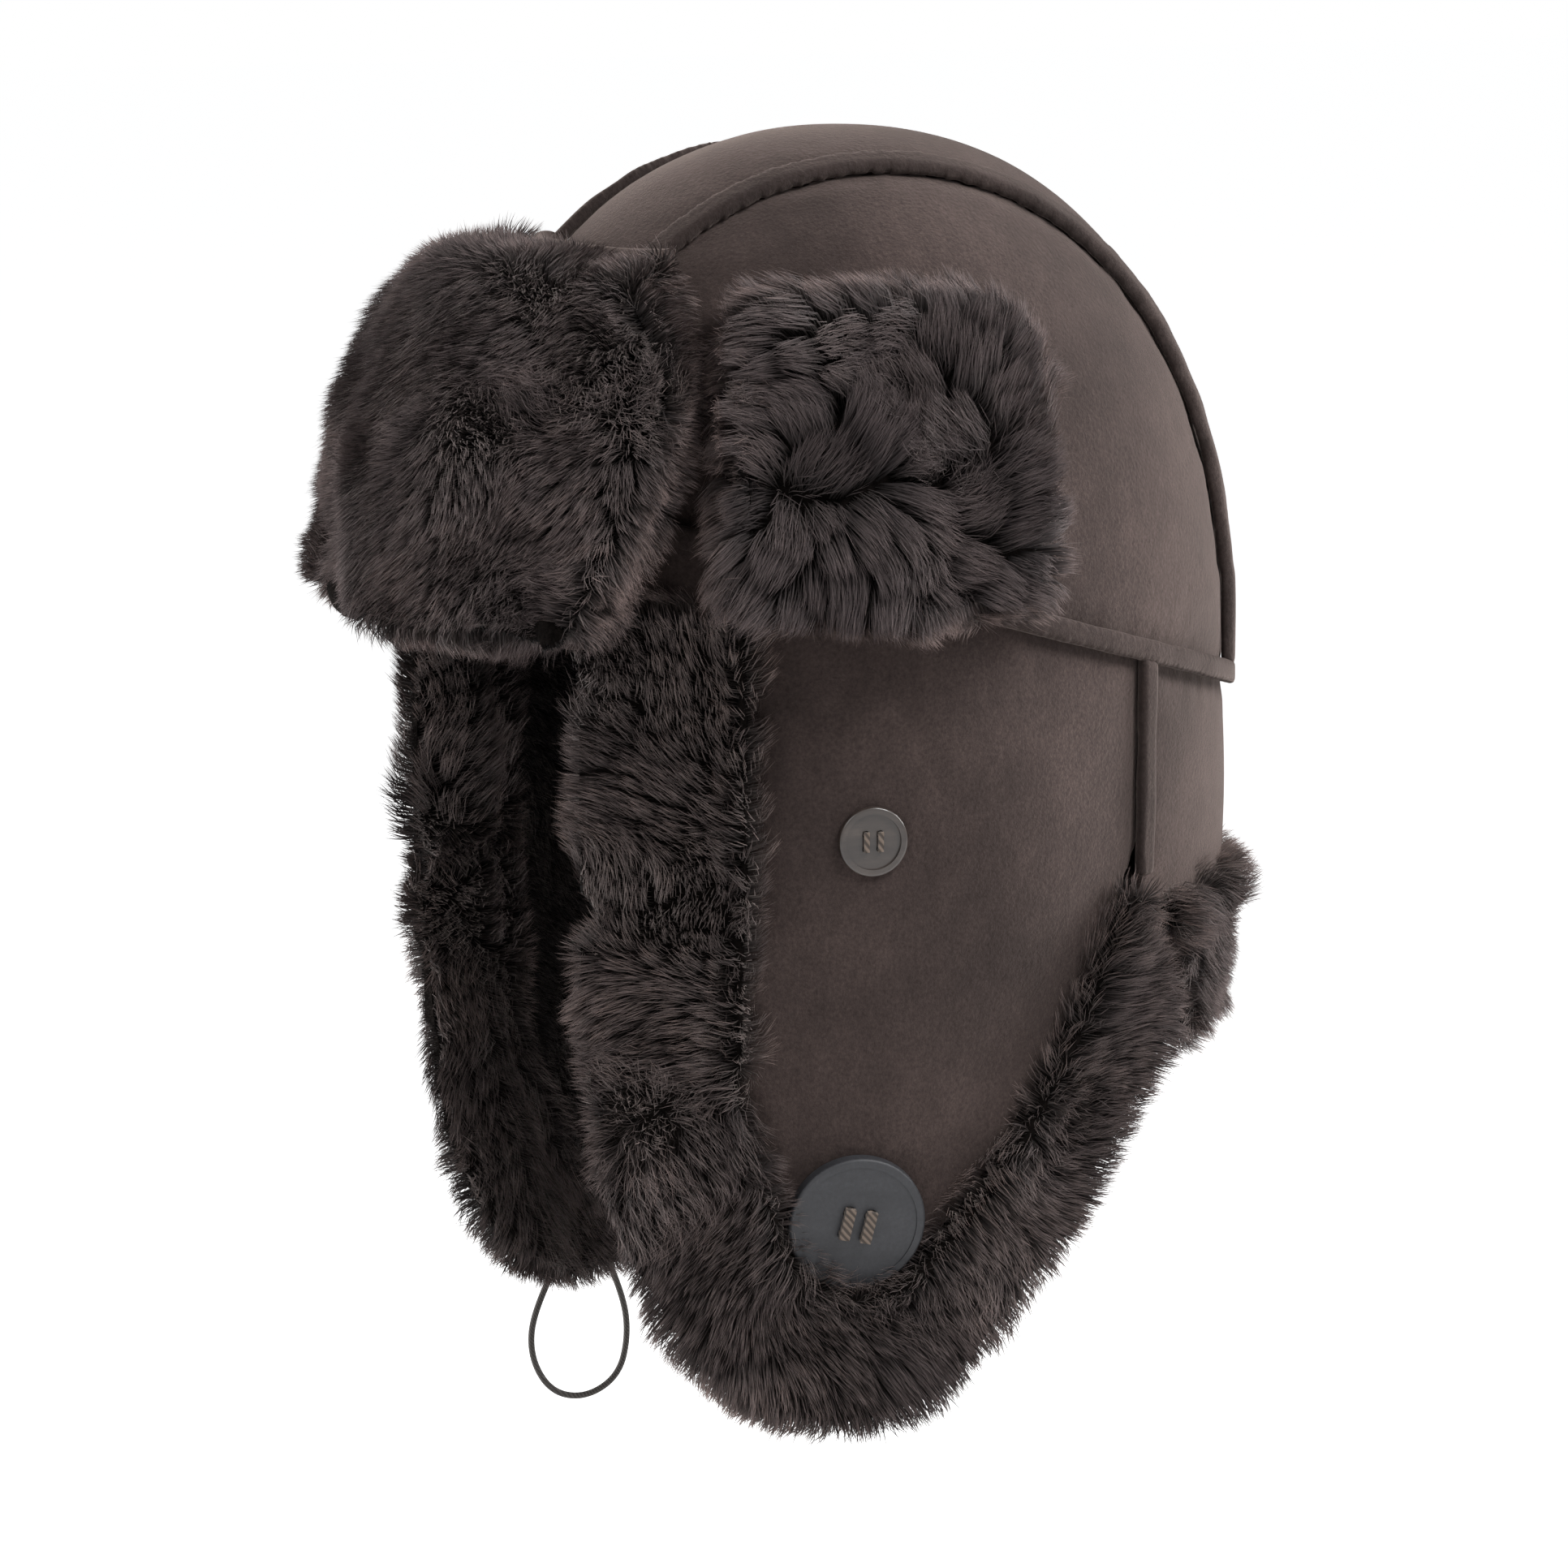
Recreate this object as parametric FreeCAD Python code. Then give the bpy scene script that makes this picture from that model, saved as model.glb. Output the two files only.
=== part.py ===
import FreeCAD, Part
import math
import os

# A trapper hat of suede and fur. +X is the wearer's left, the face looks along -Y, +Z is up.
# The origin is the centre of the head opening, level with the band seam. Millimetres and degrees.

# The head shell, at the outer face of the suede
HALF_LENGTH = 118.0
HALF_BREADTH = 95.0
CROWN_TOP = 126.0
DOME_BASE = -21.0
DOME_POWER = 2.2
WAIST = -45.0
SKIRT_RADIUS = 870.0
SHELL_BOTTOM = -262.0

# Layers
SUEDE = 2.5
LAYER_GAP = 0.3
LINING = 8.2
TRIM_OUT = 10.0
TRIM_IN = 12.0

# Seams
SEAM_SLOPE = 15.6
SEAM_FRONT = -100.0
FRONT_HEM = -2.0
STRIP_HALF_WIDTH = 38.0
STRIP_FLARE = 7.4
NECK_SEAM = 49.0
NECK_HEM = -86.0
WELT_WIDTH = 5.0
WELT_HEIGHT = 2.4

# Ear panel, and the fold that the ear flap hangs from
FLAP_FRONT = -73.0
TRIM_FRONT = -112.0
TRIM_INNER_X = 46.0
TRIM_TOP = -10.0
FOLD_Z = -76.0
FOLD_GAP = 0.4
FOLD_WEDGE = 12.0
FOLD_TURN = 8.0
FOLD_OUT = 3.0

# Ear flap
TONGUE_TIP = -185.0
TONGUE_BACK = 6.0
TONGUE_CENTRE = -40.0
FUR_TIP = -218.0
NECK_TRIM_HEM = -134.0
NECK_TRIM_SPLIT = 58.0
SPLIT_LEAN = 20.0
SPLIT_GAP = 7.0
NECK_CLEAR = 9.0
BUTTON_CLEAR = 1.5

# Turned-up side cuff
CUFF_CENTRE = -40.0
CUFF_HALF_WIDTH = 49.0
CUFF_BOTTOM = 2.0
CUFF_TOP = 96.0
CUFF_CORNER = 30.0
CUFF_STAND_OFF = 6.0
CUFF_OUT = 29.0
TURN_SKIN = 3.0
HEM_HEIGHT = 4.0

# Turned-up front brim
BRIM_HALF_WIDTH = 98.0
BRIM_BOTTOM = -6.0
BRIM_TOP = 104.0
BRIM_CORNER = 50.0
BRIM_STAND_OFF = 8.0
BRIM_OUT = 35.0
TEMPLE = -78.0
TEMPLE_GAP = 4.0

# Buttons: radius, thickness, rim width, rim height, hole radius, hole pitch, turn
SMALL_BUTTON = (9.5, 2.6, 1.9, 0.8, 1.05, 3.9, 0.0)
LARGE_BUTTON = (19.0, 4.4, 2.4, 0.3, 1.75, 6.1, -12.0)
SMALL_BUTTON_Z = -58.0
LARGE_BUTTON_Z = -164.0
THREAD_SLACK = 0.3

# Elastic chin loop, sewn in the right ear flap
CORD_DIAMETER = 1.9
ANCHOR_WIDTH = 27.0
ANCHOR_THICKNESS = 5.0
ANCHOR_TOP = -204.0
CORD_START = -212.0
LOOP_Y = -44.0
CORD_POINTS = [
    (-71.0, -53.0, -212.0),
    (-72.0, -59.5, -224.0),
    (-73.0, -60.5, -238.0),
    (-73.6, -53.5, -250.5),
    (-73.0, -42.0, -254.0),
    (-72.0, -31.0, -248.5),
    (-71.4, -28.0, -236.0),
    (-71.0, -30.0, -223.0),
    (-71.0, -35.0, -212.0),
]

BIG = 600.0
V = FreeCAD.Vector
X_AXIS = V(1, 0, 0)
Y_AXIS = V(0, 1, 0)
Z_AXIS = V(0, 0, 1)
ORIGIN = V(0, 0, 0)


def turned(angle):
    """The horizontal direction that is this angle forward of the wearer's left."""
    a = math.radians(angle)
    return V(math.cos(a), -math.sin(a), 0)


def hull(out, bottom=SHELL_BOTTOM):
    """The head shell's solid, grown outward by out."""
    r = HALF_BREADTH + out
    h = CROWN_TOP + out - DOME_BASE
    dome = []
    for step in range(13):
        t = math.radians(90.0 * step / 12)
        x = r * math.sin(t) ** (2 / DOME_POWER)
        z = DOME_BASE + h * abs(math.cos(t)) ** (2 / DOME_POWER)
        dome.append(V(x, 0, z))
    dome[-1] = V(r, 0, DOME_BASE)
    curve = Part.BSplineCurve()
    curve.interpolate(Points=dome, InitialTangent=X_AXIS, FinalTangent=V(0, 0, -1))
    waist = V(r, 0, WAIST)
    hem = V(wall_radius(bottom, out), 0, bottom)
    middle = V(wall_radius((bottom + WAIST) / 2, out), 0, (bottom + WAIST) / 2)
    edges = [
        curve.toShape(),
        Part.makeLine(dome[-1], waist),
        Part.Arc(waist, middle, hem).toShape(),
        Part.makeLine(hem, V(0, 0, bottom)),
        Part.makeLine(V(0, 0, bottom), dome[0]),
    ]
    solid = Part.Face(Part.Wire(edges)).revolve(ORIGIN, Z_AXIS, 360)
    stretch = FreeCAD.Matrix()
    stretch.scale(1, (HALF_LENGTH + out) / r, 1)
    return solid.transformGeometry(stretch)


def wall_radius(z, out=0.0):
    """Half the shell's breadth at a height below the dome."""
    drop = max(WAIST - z, 0.0)
    radius = SKIRT_RADIUS + out
    return HALF_BREADTH + out - radius + math.sqrt(radius**2 - drop**2)


def wall_point(y, z):
    """The point of the left outer wall at y and z, and the wall's outward direction there."""
    r = wall_radius(z)
    stretch = HALF_LENGTH / HALF_BREADTH
    x = math.sqrt(r**2 - (y / stretch) ** 2)
    lean = max(WAIST - z, 0.0) / SKIRT_RADIUS
    normal = V(x, y / stretch**2, -r * lean)
    return V(x, y, z), normal.normalize()


def layer(outer, inner):
    """What lies between two offsets of the head shell."""
    return hull(outer).cut(hull(inner, SHELL_BOTTOM - 5))


def half(point, direction):
    """A block on the side of a plane that direction points to."""
    box = Part.makeBox(BIG, BIG, BIG, V(-BIG / 2, -BIG / 2, 0))
    box.Placement = FreeCAD.Placement(point, FreeCAD.Rotation(Z_AXIS, direction)).multiply(box.Placement)
    return box


def keep(shape, *planes):
    """The part of a shape on the kept side of each (point, direction) plane."""
    for point, direction in planes:
        shape = shape.common(half(point, direction))
    return shape


def slab(shape, point, direction, width):
    """The part of a shape within half of width of a plane."""
    step = direction.normalize() * (width / 2)
    return keep(shape, (point - step, direction), (point + step, direction * -1))


def prism(edges, direction):
    """A closed outline run out to both sides along a direction."""
    face = Part.Face(Part.Wire(edges))
    face.translate(direction * (-BIG / 2))
    return face.extrude(direction * BIG)


def rounded_panel(centre, along, half_width, low, high, low_corner, high_corner):
    """The outline edges of an upright panel with rounded corners."""
    corners = [
        (-half_width, low, low_corner),
        (half_width, low, low_corner),
        (half_width, high, high_corner),
        (-half_width, high, high_corner),
    ]
    points = [centre + along * t + Z_AXIS * z for t, z, _ in corners]
    edges = []
    for i, (_, _, radius) in enumerate(corners):
        here = points[i]
        to_last = (points[i - 1] - here).normalize()
        to_next = (points[(i + 1) % 4] - here).normalize()
        start = here + to_last * radius
        end = here + to_next * radius
        middle = here + (to_last + to_next) * (radius * (1 - math.sqrt(0.5)))
        edges.append((start, Part.Arc(start, middle, end).toShape(), end))
    outline = []
    for i, (_, arc, end) in enumerate(edges):
        outline.append(arc)
        outline.append(Part.makeLine(end, edges[(i + 1) % 4][0]))
    return outline


def mirrored(shape):
    """The same piece on the wearer's other side."""
    return shape.mirror(ORIGIN, X_AXIS)


def solids(shape):
    """The solids of a boolean's result, as one shape."""
    found = [s for s in shape.Solids if s.Volume > 1.0]
    return found[0] if len(found) == 1 else Part.makeCompound(found)


# Planes that several pieces share
seam_angle = math.radians(SEAM_SLOPE)
SEAM_UP = V(0, math.sin(seam_angle), math.cos(seam_angle))
SEAM_DOWN = SEAM_UP * -1
strip_point = V(STRIP_HALF_WIDTH, 0, 0)
STRIP_SIDE = turned(STRIP_FLARE)
skin = layer(0, -SUEDE)
fleece = layer(-SUEDE - LAYER_GAP, -SUEDE - LAYER_GAP - LINING)
fur = layer(TRIM_OUT, -TRIM_IN)
welt = layer(LAYER_GAP + WELT_HEIGHT, LAYER_GAP)


def crown_zone(shape, lift=0.0):
    """The crown's share of a layer: above the band seam, and down to the hem at the forehead."""
    behind = keep(half(ORIGIN + SEAM_UP * lift, SEAM_DOWN), (V(0, SEAM_FRONT, 0), Y_AXIS))
    in_front = half(V(0, SEAM_FRONT, 0), Y_AXIS * -1)
    below_hem = half(V(0, SEAM_FRONT, FRONT_HEM), Z_AXIS * -1).common(in_front)
    return shape.cut(behind).cut(below_hem)


def strip_planes():
    """The centre strip's two side planes, each with the direction towards the strip."""
    other = V(-STRIP_SIDE.x, STRIP_SIDE.y, 0)
    return [(strip_point, STRIP_SIDE * -1), (V(-strip_point.x, 0, 0), other * -1)]


def crown(write):
    """Centre strip and two side panels of suede, with a fleece lining cut the same way."""
    for name, sheet in (("panel", skin), ("lining", fleece)):
        dome = crown_zone(sheet)
        left = keep(dome, (strip_point, STRIP_SIDE))
        write("crown_centre_" + name, keep(dome, *strip_planes()))
        write("crown_side_" + name + "_left", left)
        write("crown_side_" + name + "_right", mirrored(left))
    strip = slab(welt, strip_point, V(STRIP_SIDE), WELT_WIDTH)
    piping = keep(crown_zone(strip, WELT_WIDTH / 2 + LAYER_GAP), (ORIGIN, X_AXIS))
    write("crown_piping_left", piping)
    write("crown_piping_right", mirrored(piping))
    band = slab(welt, ORIGIN, V(SEAM_UP), WELT_WIDTH)
    write("band_piping", keep(band, (V(0, SEAM_FRONT, 0), Y_AXIS)))


def ear_outline():
    """The ear panel seen from the side, from the band down to the fold."""
    step = FOLD_Z + FOLD_GAP / 2
    points = [
        V(0, SEAM_FRONT, BIG / 4),
        V(0, NECK_SEAM, BIG / 4),
        V(0, NECK_SEAM, step),
        V(0, FLAP_FRONT, step),
        V(0, FLAP_FRONT, TRIM_TOP),
        V(0, SEAM_FRONT, TRIM_TOP),
    ]
    return Part.makePolygon(points + points[:1]).Edges


def ear_panels(write):
    """The upper ear panels that don't move, their lining and the fur up their front edge."""
    outline = prism(ear_outline(), X_AXIS)
    left = [(ORIGIN, SEAM_DOWN), (ORIGIN, X_AXIS)]
    for name, sheet in (("panel", skin), ("lining", fleece)):
        piece = keep(sheet.common(outline), *left)
        write("ear_" + name + "_left", piece)
        write("ear_" + name + "_right", mirrored(piece))
    trim = keep(
        fur,
        (V(0, TRIM_FRONT, 0), Y_AXIS),
        (V(0, FLAP_FRONT - LAYER_GAP, 0), Y_AXIS * -1),
        (V(0, 0, TRIM_TOP - LAYER_GAP), Z_AXIS * -1),
        (V(0, 0, FOLD_Z + FOLD_GAP / 2), Z_AXIS),
        (V(TRIM_INNER_X, 0, 0), X_AXIS),
    )
    write("ear_trim_left", trim)
    write("ear_trim_right", mirrored(trim))


def split_plane(shift):
    """The leaning plane between the neck's fur hem and the ear flap's fur."""
    lean = math.radians(SPLIT_LEAN)
    back = V(0, math.cos(lean), math.sin(lean))
    return V(0, NECK_TRIM_SPLIT, NECK_HEM) + back * shift, back


def neck(write):
    """Neck panel, lining, fur hem and the welts beside it."""
    for name, sheet in (("panel", skin), ("lining", fleece)):
        below_seam = keep(sheet, (ORIGIN, SEAM_DOWN), (V(0, NECK_SEAM, 0), Y_AXIS))
        write("neck_" + name, keep(below_seam, (V(0, 0, NECK_HEM), Z_AXIS)))
    trim_top = (V(0, 0, NECK_HEM - LAYER_GAP), Z_AXIS * -1)
    write("neck_trim", keep(fur, split_plane(0), trim_top, (V(0, 0, NECK_TRIM_HEM), Z_AXIS)))
    strip = slab(welt, V(0, NECK_SEAM, 0), V(Y_AXIS), WELT_WIDTH)
    piping = keep(
        strip,
        (SEAM_DOWN * (WELT_WIDTH / 2 + LAYER_GAP), SEAM_DOWN),
        (V(0, 0, FOLD_Z + FOLD_GAP / 2), Z_AXIS),
        (ORIGIN, X_AXIS),
    )
    write("neck_piping_left", piping)
    write("neck_piping_right", mirrored(piping))


def curve_through(points):
    """A smooth edge through (y, z) points."""
    curve = Part.BSplineCurve()
    curve.interpolate([V(0, y, z) for y, z in points])
    return curve.toShape()


def tongue_outline(grow=0.0):
    """The ear flap's suede seen from the side: upright in front, rounded at the tip, slanting up behind."""
    front = FLAP_FRONT - grow
    tip = TONGUE_TIP - grow
    centre = TONGUE_CENTRE
    back = NECK_SEAM - TONGUE_BACK + grow
    points = [
        (front, FOLD_Z - 46),
        (front + 10, tip + 25),
        (centre, tip),
        (centre + 30 + grow, tip + 22),
        (centre + 60 + grow, tip + 68),
        (back, FOLD_Z - 2),
    ]
    start = V(0, front, BIG / 4)
    end = V(0, back, BIG / 4)
    first = V(0, points[0][0], points[0][1])
    last = V(0, points[-1][0], points[-1][1])
    return [
        Part.makeLine(start, first),
        curve_through(points),
        Part.makeLine(last, end),
        Part.makeLine(end, start),
    ]


def fur_outline():
    """The outer edge of the ear flap's fur, seen from the side."""
    centre = TONGUE_CENTRE
    points = [
        (TRIM_FRONT, FOLD_Z - 44),
        (TRIM_FRONT + 12, FUR_TIP + 48),
        (centre - 30, FUR_TIP + 9),
        (centre, FUR_TIP),
        (centre + 40, FUR_TIP + 16),
        (centre + 72, FUR_TIP + 50),
        (centre + 100, FOLD_Z - 50),
    ]
    start = V(0, TRIM_FRONT, BIG / 4)
    end = V(0, points[-1][0], BIG / 4)
    first = V(0, points[0][0], points[0][1])
    last = V(0, points[-1][0], points[-1][1])
    return [
        Part.makeLine(start, first),
        curve_through(points),
        Part.makeLine(last, end),
        Part.makeLine(end, start),
    ]


def fold_axis():
    """A point on the left flap's fold line, the line's direction, and the flap's sloping top plane."""
    point, _ = wall_point(TONGUE_CENTRE, FOLD_Z)
    outward = turned(FOLD_TURN)
    point = point + outward * FOLD_OUT
    along = Z_AXIS.cross(outward)
    wedge = math.radians(FOLD_WEDGE)
    down = outward * math.sin(wedge) - Z_AXIS * math.cos(wedge)
    return point, along, down


def ear_flaps(write):
    """The hanging flaps: suede tongue, fleece lining and a fur rim round both."""
    point, _, down = fold_axis()
    top = (point - Z_AXIS * (FOLD_GAP / 2), down)
    left = (V(TRIM_INNER_X, 0, 0), X_AXIS)
    tongue = prism(tongue_outline(), X_AXIS)
    for name, sheet in (("flap", skin), ("flap_lining", fleece)):
        piece = keep(sheet.common(tongue), top, (ORIGIN, X_AXIS))
        write("ear_" + name + "_left", piece)
        write("ear_" + name + "_right", mirrored(piece))
    rim = prism(fur_outline(), X_AXIS).cut(prism(tongue_outline(LAYER_GAP), X_AXIS))
    split, back = split_plane(-SPLIT_GAP)
    trim = keep(fur.common(rim), top, left, (split, back * -1))
    under_neck = V(0, NECK_SEAM - LAYER_GAP * 5, NECK_HEM - NECK_CLEAR)
    trim = trim.cut(keep(half(under_neck, Z_AXIS), (under_neck, Y_AXIS)))
    hole = Part.makeCylinder(LARGE_BUTTON[0] + BUTTON_CLEAR, BIG / 8)
    hole.Placement = button_place(LARGE_BUTTON_Z)
    trim = trim.cut(hole)
    write("flap_trim_left", trim)
    anchor = loop_anchor()
    pocket = loop_anchor(LAYER_GAP, SHELL_BOTTOM)
    write("flap_trim_right", mirrored(trim).cut(pocket))
    write("loop_anchor", anchor)


def loop_anchor(grow=0.0, bottom=CORD_START):
    """The stitched tape that holds both ends of the chin loop inside the right flap's fur."""
    return Part.makeBox(
        ANCHOR_THICKNESS + 2 * grow,
        ANCHOR_WIDTH + 2 * grow,
        ANCHOR_TOP + grow - bottom,
        V(CORD_POINTS[0][0] - ANCHOR_THICKNESS / 2 - grow, LOOP_Y - ANCHOR_WIDTH / 2 - grow, bottom),
    )


def chin_loop(write):
    """Elastic cord: straight runs joined by tangent arcs, both ends on the anchor."""
    points = [V(*p) for p in CORD_POINTS]
    edges = []
    radii = []
    here = points[0]
    for last, corner, after in zip(points, points[1:], points[2:]):
        back = last - corner
        on = after - corner
        reach = 0.45 * min(back.Length, on.Length)
        half_turn = (math.pi - back.getAngle(on)) / 2
        radii.append(reach / math.tan(half_turn))
        start = corner + back.normalize() * reach
        end = corner + on.normalize() * reach
        bisector = (back + on).normalize()
        inset = radii[-1] * (1 / math.cos(half_turn) - 1)
        edges.append(Part.LineSegment(here, start).toShape())
        edges.append(Part.Arc(start, corner + bisector * inset, end).toShape())
        here = end
    edges.append(Part.LineSegment(here, points[-1]).toShape())
    path = Part.Wire(edges)
    circle = Part.makeCircle(CORD_DIAMETER / 2, points[0], points[1] - points[0])
    tube = path.makePipeShell([Part.Wire([circle])], True, True, 2)
    tube = tube.cut(half(V(0, 0, CORD_START), Z_AXIS))
    print("cord length", round(path.Length, 1), "mm, smallest bend radius", round(min(radii), 1), "mm")
    write("chin_loop", tube)


def button(sizes, place):
    """A four-hole button with a raised rim, lying on XY, and its two stitches."""
    radius, thick, rim, lip, hole, pitch, turn = sizes
    disc = Part.makeCylinder(radius, thick)
    disc = disc.cut(Part.makeCylinder(radius - rim, lip, V(0, 0, thick - lip)))
    edge = [e for e in disc.Edges if abs(e.Length - 2 * math.pi * radius) < 0.01]
    disc = disc.makeFillet(min(rim, thick) * 0.4, edge)
    floor = thick - lip
    stitch_radius = hole - THREAD_SLACK
    stitches = []
    for side in (-1, 1):
        stitch = Part.makeBox(
            2 * stitch_radius, pitch + 2 * stitch_radius, stitch_radius,
            V(side * pitch / 2 - stitch_radius, -pitch / 2 - stitch_radius, floor + THREAD_SLACK))
        for end in (-1, 1):
            centre = V(side * pitch / 2, end * pitch / 2, 0)
            disc = disc.cut(Part.makeCylinder(hole, thick, centre))
            stitch = stitch.fuse(Part.makeCylinder(stitch_radius, floor + THREAD_SLACK * 2, centre))
        stitches.append(stitch.removeSplitter())
    pieces = [disc, Part.makeCompound(stitches)]
    for piece in pieces:
        piece.Placement = place.multiply(FreeCAD.Placement(ORIGIN, FreeCAD.Rotation(Z_AXIS, turn)))
    return pieces


def button_place(z):
    """Upright placement on the left wall, in line with the flap's tip."""
    point, normal = wall_point(TONGUE_CENTRE, z)
    across = Z_AXIS.cross(normal).normalize()
    up = normal.cross(across)
    frame = FreeCAD.Matrix(
        across.x, up.x, normal.x, point.x + normal.x * LAYER_GAP,
        across.y, up.y, normal.y, point.y + normal.y * LAYER_GAP,
        across.z, up.z, normal.z, point.z + normal.z * LAYER_GAP,
        0, 0, 0, 1)
    return FreeCAD.Placement(frame)


def buttons(write):
    """A small button on each ear panel and a large one on the left flap."""
    disc, stitches = button(SMALL_BUTTON, button_place(SMALL_BUTTON_Z))
    write("small_button_left", disc)
    write("small_button_thread_left", stitches)
    write("small_button_right", mirrored(disc))
    write("small_button_thread_right", mirrored(stitches))
    disc, stitches = button(LARGE_BUTTON, button_place(LARGE_BUTTON_Z))
    write("large_button", disc)
    write("large_button_thread", stitches)


def temple_plane(shift):
    """The upright plane between the brim and the left cuff, with the direction towards the cuff."""
    point, normal = wall_point(TEMPLE, WAIST)
    back = Z_AXIS.cross(normal)
    return point + back * shift, back


def side_cuffs(write):
    """The turned-up side cuffs: suede against the crown, fur outward."""
    centre, normal = wall_point(CUFF_CENTRE, WAIST)
    along = Z_AXIS.cross(normal)
    base = V(centre.x, centre.y, 0)
    outline = rounded_panel(
        base, along, CUFF_HALF_WIDTH, CUFF_BOTTOM, CUFF_TOP, CUFF_CORNER / 3, CUFF_CORNER)
    block = prism(outline, normal)
    front = temple_plane(TEMPLE_GAP / 2)
    pile_start = CUFF_STAND_OFF + TURN_SKIN
    sheets = (
        ("side_cuff_shell_", layer(pile_start, CUFF_STAND_OFF)),
        ("side_cuff_pile_", layer(CUFF_OUT, pile_start + LAYER_GAP)),
    )
    for name, sheet in sheets:
        piece = keep(sheet.common(block), front, (ORIGIN, X_AXIS))
        write(name + "left", piece)
        write(name + "right", mirrored(piece))
    hem = keep(
        layer(CUFF_STAND_OFF - LAYER_GAP, LAYER_GAP).common(block),
        front,
        (ORIGIN, X_AXIS),
        (V(0, 0, CUFF_BOTTOM + HEM_HEIGHT), Z_AXIS * -1),
    )
    hem = hem.cut(slab(half(V(0, 0, -BIG / 2), Z_AXIS), ORIGIN, V(SEAM_UP), WELT_WIDTH + 2 * LAYER_GAP))
    write("side_cuff_hem_left", hem)
    write("side_cuff_hem_right", mirrored(hem))


def front_brim(write):
    """The turned-up brim from temple to temple: suede against the crown, fur outward."""
    outline = rounded_panel(
        ORIGIN, V(X_AXIS), BRIM_HALF_WIDTH, BRIM_BOTTOM, BRIM_TOP, BRIM_CORNER / 3, BRIM_CORNER)
    block = prism(outline, Y_AXIS)
    point, back = temple_plane(-TEMPLE_GAP / 2)
    planes = [(point, back * -1), (V(-point.x, point.y, 0), V(back.x, -back.y, 0))]
    pile_start = BRIM_STAND_OFF + TURN_SKIN
    sheets = (
        ("front_brim_shell", layer(pile_start, BRIM_STAND_OFF)),
        ("front_brim_pile", layer(BRIM_OUT, pile_start + LAYER_GAP)),
    )
    for name, sheet in sheets:
        write(name, keep(sheet.common(block), *planes))
    hem = layer(BRIM_STAND_OFF - LAYER_GAP, LAYER_GAP).common(block)
    write("front_brim_hem", keep(
        hem, *planes, (V(0, 0, BRIM_BOTTOM + HEM_HEIGHT), Z_AXIS * -1)))


def write_part(name, shape):
    """One STEP file per piece, named after it."""
    whole = solids(shape)
    print(name, len(whole.Solids), "solids", round(whole.Volume), "mm3", whole.isValid())
    whole.exportStep(os.path.join("parts", name + ".step"))


def main():
    os.makedirs("parts", exist_ok=True)
    for make in (crown, ear_panels, neck, ear_flaps, chin_loop, buttons, side_cuffs, front_brim):
        make(write_part)


main()
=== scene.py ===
import bmesh
import bpy
import math
import numpy as np
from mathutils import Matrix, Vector
from mathutils.kdtree import KDTree


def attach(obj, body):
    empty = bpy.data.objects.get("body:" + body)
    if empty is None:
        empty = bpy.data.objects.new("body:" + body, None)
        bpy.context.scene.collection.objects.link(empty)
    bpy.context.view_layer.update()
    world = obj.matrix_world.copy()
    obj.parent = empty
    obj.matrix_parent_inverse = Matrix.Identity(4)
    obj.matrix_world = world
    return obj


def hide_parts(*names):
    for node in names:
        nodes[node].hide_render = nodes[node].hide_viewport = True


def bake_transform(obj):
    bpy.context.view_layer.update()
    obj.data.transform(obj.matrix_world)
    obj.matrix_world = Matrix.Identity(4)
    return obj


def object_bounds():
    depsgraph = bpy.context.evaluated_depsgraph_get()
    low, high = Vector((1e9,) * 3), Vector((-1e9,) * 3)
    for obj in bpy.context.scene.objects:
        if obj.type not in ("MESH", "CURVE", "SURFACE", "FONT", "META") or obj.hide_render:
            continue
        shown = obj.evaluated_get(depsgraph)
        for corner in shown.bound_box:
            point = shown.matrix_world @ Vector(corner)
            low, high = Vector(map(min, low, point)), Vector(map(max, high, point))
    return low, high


# A suede and sheepskin trapper hat around its CAD frame. Metres, +Z up, the face looks along -Y.
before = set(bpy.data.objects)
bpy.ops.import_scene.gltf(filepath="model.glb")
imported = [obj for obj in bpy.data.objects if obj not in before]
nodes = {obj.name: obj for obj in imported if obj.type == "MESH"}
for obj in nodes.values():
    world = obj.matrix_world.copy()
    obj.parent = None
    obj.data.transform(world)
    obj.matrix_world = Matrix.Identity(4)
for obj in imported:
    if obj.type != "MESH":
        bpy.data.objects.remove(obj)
cad_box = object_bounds()
MM = 0.001

# The camera: its angles in degrees, and how far right of and above the origin the frame's middle lies
VIEW_AZIMUTH = 60.0
VIEW_ELEVATION = 10.0
VIEW_DISTANCE = 1.5
VIEW_LENS = 121.6
VIEW_RIGHT = -13.3 * MM
VIEW_UP = -59.0 * MM
VIEW_SENSOR = 36.0
VIEW_CLIP = 0.05

# The head shell, as in the frame: half the breadth and length of the suede's outer face at the waist,
# its widest level, how far the crown rises above that, and the radius by which the skirt curves in below
HALF_BREADTH = 95.0 * MM
HALF_LENGTH = 118.0 * MM
WAIST = -45.0 * MM
CROWN_RISE = 170.0 * MM
SKIRT_RADIUS = 870.0 * MM
NARROWEST = 5 * MM

# The ear flap's fold: a point on it
FOLD_Z = -76.0 * MM

# Each side of the hat, with the sign of its x
SIDES = (("left", 1), ("right", -1))

# How fine the meshes are
SUEDE_VOXEL = 1.3 * MM
WELT_VOXEL = 0.7 * MM
TURNED_VOXEL = 1.4 * MM
GRID_STEP = 2.5

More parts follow.
